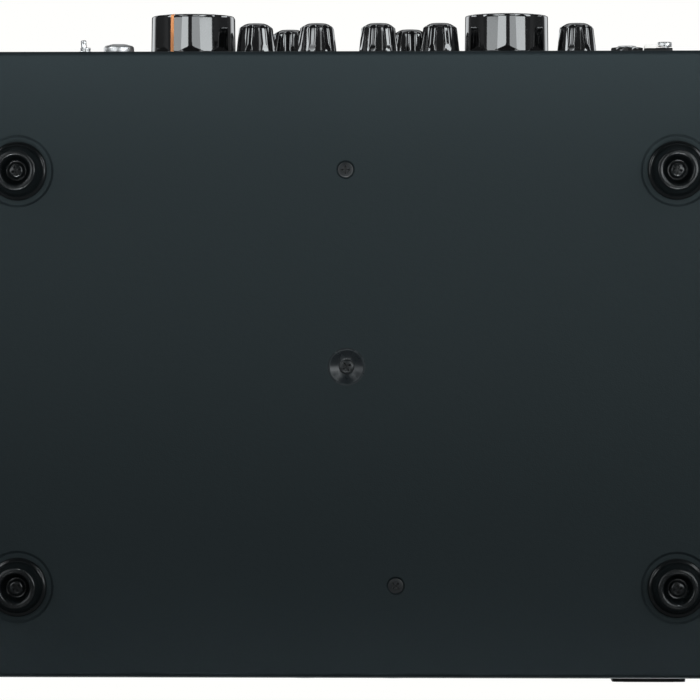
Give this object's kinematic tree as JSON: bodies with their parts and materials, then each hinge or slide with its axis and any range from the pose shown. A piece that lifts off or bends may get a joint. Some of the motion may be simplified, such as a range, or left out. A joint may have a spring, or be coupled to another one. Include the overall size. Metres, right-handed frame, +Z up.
{
  "type": "mixing console",
  "caption": "Two-channel rotary mixing console in a black sheet-steel case on rubber feet, with knobs, buttons and sockets in front and connectors behind.",
  "frame": {"origin": "on the table surface under the middle of the object's overall box", "axes": "+X to the user's right along the front panel, +Y from the front panel to the rear panel, +Z up"},
  "size_m": [0.44, 0.33, 0.1],
  "materials": {
    "powder_coat": "matt black powder coat with a fine texture",
    "rubber": "moulded black rubber, slightly glossy",
    "black_steel": "black zinc-plated steel",
    "zinc_plate": "bright zinc plate",
    "chrome": "polished chrome plate",
    "gloss_plastic": "gloss black moulded plastic",
    "black_plastic": "satin black moulded plastic",
    "circuit_board": "green solder resist",
    "winding": "amber polyester wrap over copper winding",
    "smoked_lens": "smoked clear plastic over a lamp column"
  },
  "bodies": {
    "console": {"board_screw_front": "black_steel", "board_screw_rear": "black_steel", "chassis_tray": "powder_coat", "control_board": "circuit_board", "foot_front_left": "rubber", "foot_front_right": "rubber", "foot_rear_left": "rubber", "foot_rear_right": "rubber", "foot_screw_front_left": "black_steel", "foot_screw_front_right": "black_steel", "foot_screw_rear_left": "black_steel", "foot_screw_rear_right": "black_steel", "input_jack_1_left": "black_plastic", "input_jack_1_right": "black_plastic", "input_jack_2_left": "black_plastic", "input_jack_2_right": "black_plastic", "level_meter": "smoked_lens", "mic_jack": "chrome", "mic_toggle_switch": "chrome", "mixer_board": "circuit_board", "mono_switch": "black_plastic", "output_board": "circuit_board", "phones_jack": "black_plastic", "power_inlet": "black_plastic", "standoff_front": "zinc_plate", "standoff_rear": "zinc_plate", "top_cover": "powder_coat", "toroidal_transformer": "winding", "transformer_bolt": "black_steel", "transformer_nut": "zinc_plate", "transformer_pad": "rubber", "transformer_washer": "zinc_plate", "volume_pot_left": "zinc_plate", "volume_pot_right": "zinc_plate", "xlr_output_left": "black_plastic", "xlr_output_right": "black_plastic"},
    "low_left": {"low_knob_left": "gloss_plastic", "low_shaft_left": "zinc_plate"},
    "high_left": {"high_knob_left": "gloss_plastic", "high_shaft_left": "zinc_plate"},
    "mid_left": {"mid_knob_left": "gloss_plastic", "mid_shaft_left": "zinc_plate"},
    "low_right": {"low_knob_right": "gloss_plastic", "low_shaft_right": "zinc_plate"},
    "high_right": {"high_knob_right": "gloss_plastic", "high_shaft_right": "zinc_plate"},
    "mid_right": {"mid_knob_right": "gloss_plastic", "mid_shaft_right": "zinc_plate"},
    "phones_level": {"phones_knob_level": "gloss_plastic", "phones_shaft_level": "zinc_plate"},
    "volume_left": {"volume_knob_left": "gloss_plastic", "volume_shaft_left": "zinc_plate"},
    "volume_right": {"volume_knob_right": "gloss_plastic", "volume_shaft_right": "zinc_plate"},
    "cue_left": {"cue_button_left": "black_plastic"},
    "cue_right": {"cue_button_right": "black_plastic"},
    "mono": {"mono_button": "chrome"},
    "mic_toggle": {"mic_toggle_lever": "chrome"},
    "power": {"power_rocker": "gloss_plastic"},
    "fuse": {"fuse_drawer": "black_plastic"}
  },
  "joints": [
    {"name": "low_left_turn", "type": "hinge", "parent": "console", "child": "low_left", "pos_m": [-0.04545, -0.1447, 0.036], "axis": [0, 1, 0], "range_deg": [-150, 150]},
    {"name": "high_left_turn", "type": "hinge", "parent": "console", "child": "high_left", "pos_m": [-0.01515, -0.1447, 0.036], "axis": [0, 1, 0], "range_deg": [-150, 150]},
    {"name": "mid_left_turn", "type": "hinge", "parent": "console", "child": "mid_left", "pos_m": [-0.0303, -0.1447, 0.075], "axis": [0, 1, 0], "range_deg": [-150, 150]},
    {"name": "low_right_turn", "type": "hinge", "parent": "console", "child": "low_right", "pos_m": [0.01515, -0.1447, 0.036], "axis": [0, 1, 0], "range_deg": [-150, 150]},
    {"name": "high_right_turn", "type": "hinge", "parent": "console", "child": "high_right", "pos_m": [0.04545, -0.1447, 0.036], "axis": [0, 1, 0], "range_deg": [-150, 150]},
    {"name": "mid_right_turn", "type": "hinge", "parent": "console", "child": "mid_right", "pos_m": [0.0303, -0.1447, 0.075], "axis": [0, 1, 0], "range_deg": [-150, 150]},
    {"name": "phones_level_turn", "type": "hinge", "parent": "console", "child": "phones_level", "pos_m": [0.113, -0.1447, 0.038], "axis": [0, 1, 0], "range_deg": [-150, 150]},
    {"name": "volume_left_turn", "type": "hinge", "parent": "console", "child": "volume_left", "pos_m": [-0.0777, -0.1447, 0.056], "axis": [0, 1, 0], "range_deg": [0, 300]},
    {"name": "volume_right_turn", "type": "hinge", "parent": "console", "child": "volume_right", "pos_m": [0.0785, -0.1447, 0.056], "axis": [0, 1, 0], "range_deg": [-172.5, 127.5]},
    {"name": "cue_left_press", "type": "slide", "parent": "console", "child": "cue_left", "axis": [0, 1, 0], "range_m": [0, 0.002], "stiffness_N_per_m": 400},
    {"name": "cue_right_press", "type": "slide", "parent": "console", "child": "cue_right", "axis": [0, 1, 0], "range_m": [0, 0.002], "stiffness_N_per_m": 400},
    {"name": "mono_press", "type": "slide", "parent": "console", "child": "mono", "axis": [0, 1, 0], "range_m": [0, 0.001], "stiffness_N_per_m": 600},
    {"name": "mic_toggle_throw", "type": "hinge", "parent": "console", "child": "mic_toggle", "pos_m": [-0.1301, -0.1402, 0.038], "axis": [0, 0, 1], "range_deg": [0, 10]},
    {"name": "power_rock", "type": "hinge", "parent": "console", "child": "power", "pos_m": [0.1479, 0.16, 0.0725], "axis": [1, 0, 0], "range_deg": [0, 18]},
    {"name": "fuse_drawer_pull", "type": "slide", "parent": "console", "child": "fuse", "axis": [0, 1, 0], "range_m": [0, 0.015]}
  ]
}
